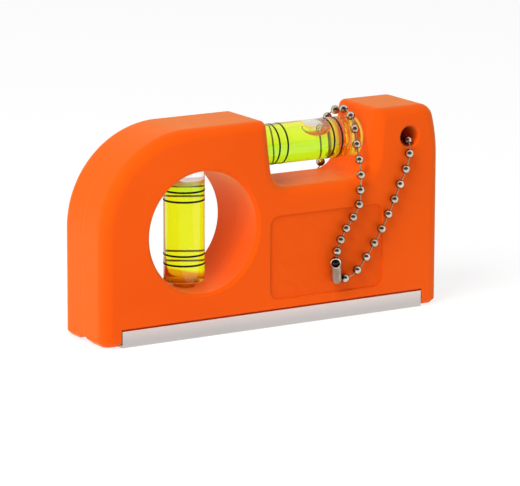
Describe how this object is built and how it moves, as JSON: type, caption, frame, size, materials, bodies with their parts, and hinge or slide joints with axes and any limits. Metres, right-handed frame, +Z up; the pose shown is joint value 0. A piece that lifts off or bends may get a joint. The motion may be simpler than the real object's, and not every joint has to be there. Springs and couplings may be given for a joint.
{
  "type": "pocket spirit level",
  "caption": "Pocket spirit level in an orange moulded body with a level vial in a notch, a plumb vial in a round window, a grooved metal base rail and a ball chain loop.",
  "frame": {"origin": "middle of the base rail's underside, on the line of its V-groove", "axes": "+X along the base to the end with the chain's eyelet, +Y to the back face, +Z up; the face with the panel and the chain's sleeve looks along -Y"},
  "size_m": [0.1016, 0.0267, 0.0542],
  "materials": {
    "body": "orange moulded plastic, semi-gloss",
    "rail": "satin, fine lengthwise lines",
    "clear": "clear acrylic, polished",
    "liquid": "yellow-green tinted spirit",
    "line": "black paint",
    "chain": "bright nickel plate",
    "sleeve": "nickel plate, duller than the beads"
  },
  "bodies": {
    "root": {"front_shell": "body", "back_shell": "body", "base_rail": "rail", "level_vial_tube": "clear", "level_vial_plug": "clear", "level_vial_lines": "line", "level_vial_liquid": "liquid", "plumb_vial_tube": "clear", "plumb_vial_plug": "clear", "plumb_vial_lines": "line", "plumb_vial_liquid": "liquid", "chain_sleeve": "sleeve", "chain_links": "chain", "chain_bead_01": "chain", "chain_bead_02": "chain", "chain_bead_03": "chain", "chain_bead_04": "chain", "chain_bead_05": "chain", "chain_bead_06": "chain", "chain_bead_07": "chain", "chain_bead_08": "chain", "chain_bead_09": "chain", "chain_bead_10": "chain", "chain_bead_11": "chain", "chain_bead_12": "chain", "chain_bead_13": "chain", "chain_bead_14": "chain", "chain_bead_15": "chain", "chain_bead_16": "chain", "chain_bead_17": "chain", "chain_bead_18": "chain", "chain_bead_19": "chain", "chain_bead_20": "chain", "chain_bead_21": "chain", "chain_bead_22": "chain", "chain_bead_23": "chain", "chain_bead_24": "chain", "chain_bead_25": "chain", "chain_bead_26": "chain", "chain_bead_27": "chain", "chain_bead_28": "chain", "chain_bead_29": "chain", "chain_bead_30": "chain", "chain_bead_31": "chain", "chain_bead_32": "chain", "chain_bead_33": "chain", "chain_bead_34": "chain", "chain_bead_35": "chain", "chain_bead_36": "chain", "chain_bead_37": "chain", "chain_bead_38": "chain", "chain_bead_39": "chain", "chain_bead_40": "chain", "chain_bead_41": "chain", "chain_bead_42": "chain"}
  },
  "joints": []
}
